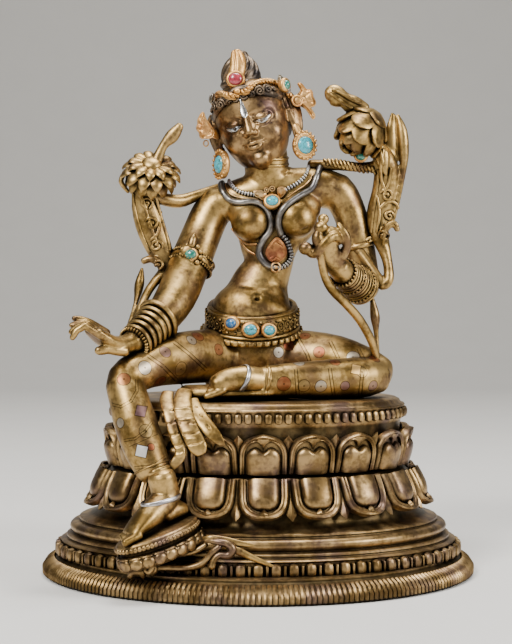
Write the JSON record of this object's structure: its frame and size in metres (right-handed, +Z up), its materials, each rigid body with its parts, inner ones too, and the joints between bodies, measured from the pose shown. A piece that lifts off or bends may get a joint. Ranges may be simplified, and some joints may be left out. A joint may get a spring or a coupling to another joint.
{
  "type": "tara figure",
  "caption": "Seated Tara cast in brass, one leg hanging to a small lotus footrest, on an oval double-lotus throne, with lotuses at the shoulders and set stones.",
  "frame": {"origin": "middle of the throne's flat underside", "axes": "+Z up, the figure faces -Y, +X is the figure's left side and the viewer's right"},
  "size_m": [0.163, 0.147, 0.1972],
  "materials": {
    "throne_brass": "worn cast brass, dark in the recesses",
    "figure_brass": "rubbed cast brass with gilt, silver and copper details",
    "turquoise": "polished opaque stone",
    "lapis": "polished opaque stone",
    "malachite": "polished opaque stone",
    "garnet": "polished stone"
  },
  "bodies": {
    "root": {"lotus_throne": "throne_brass", "figure": "figure_brass", "turquoise_left_earring": "turquoise", "turquoise_right_earring": "turquoise", "turquoise_necklace": "turquoise", "lapis_belt": "lapis", "turquoise_belt_middle": "turquoise", "turquoise_belt_side": "turquoise", "malachite_armlet": "malachite", "garnet_crest": "garnet", "turquoise_crown_leaf": "malachite", "turquoise_lotus": "malachite"}
  },
  "joints": []
}
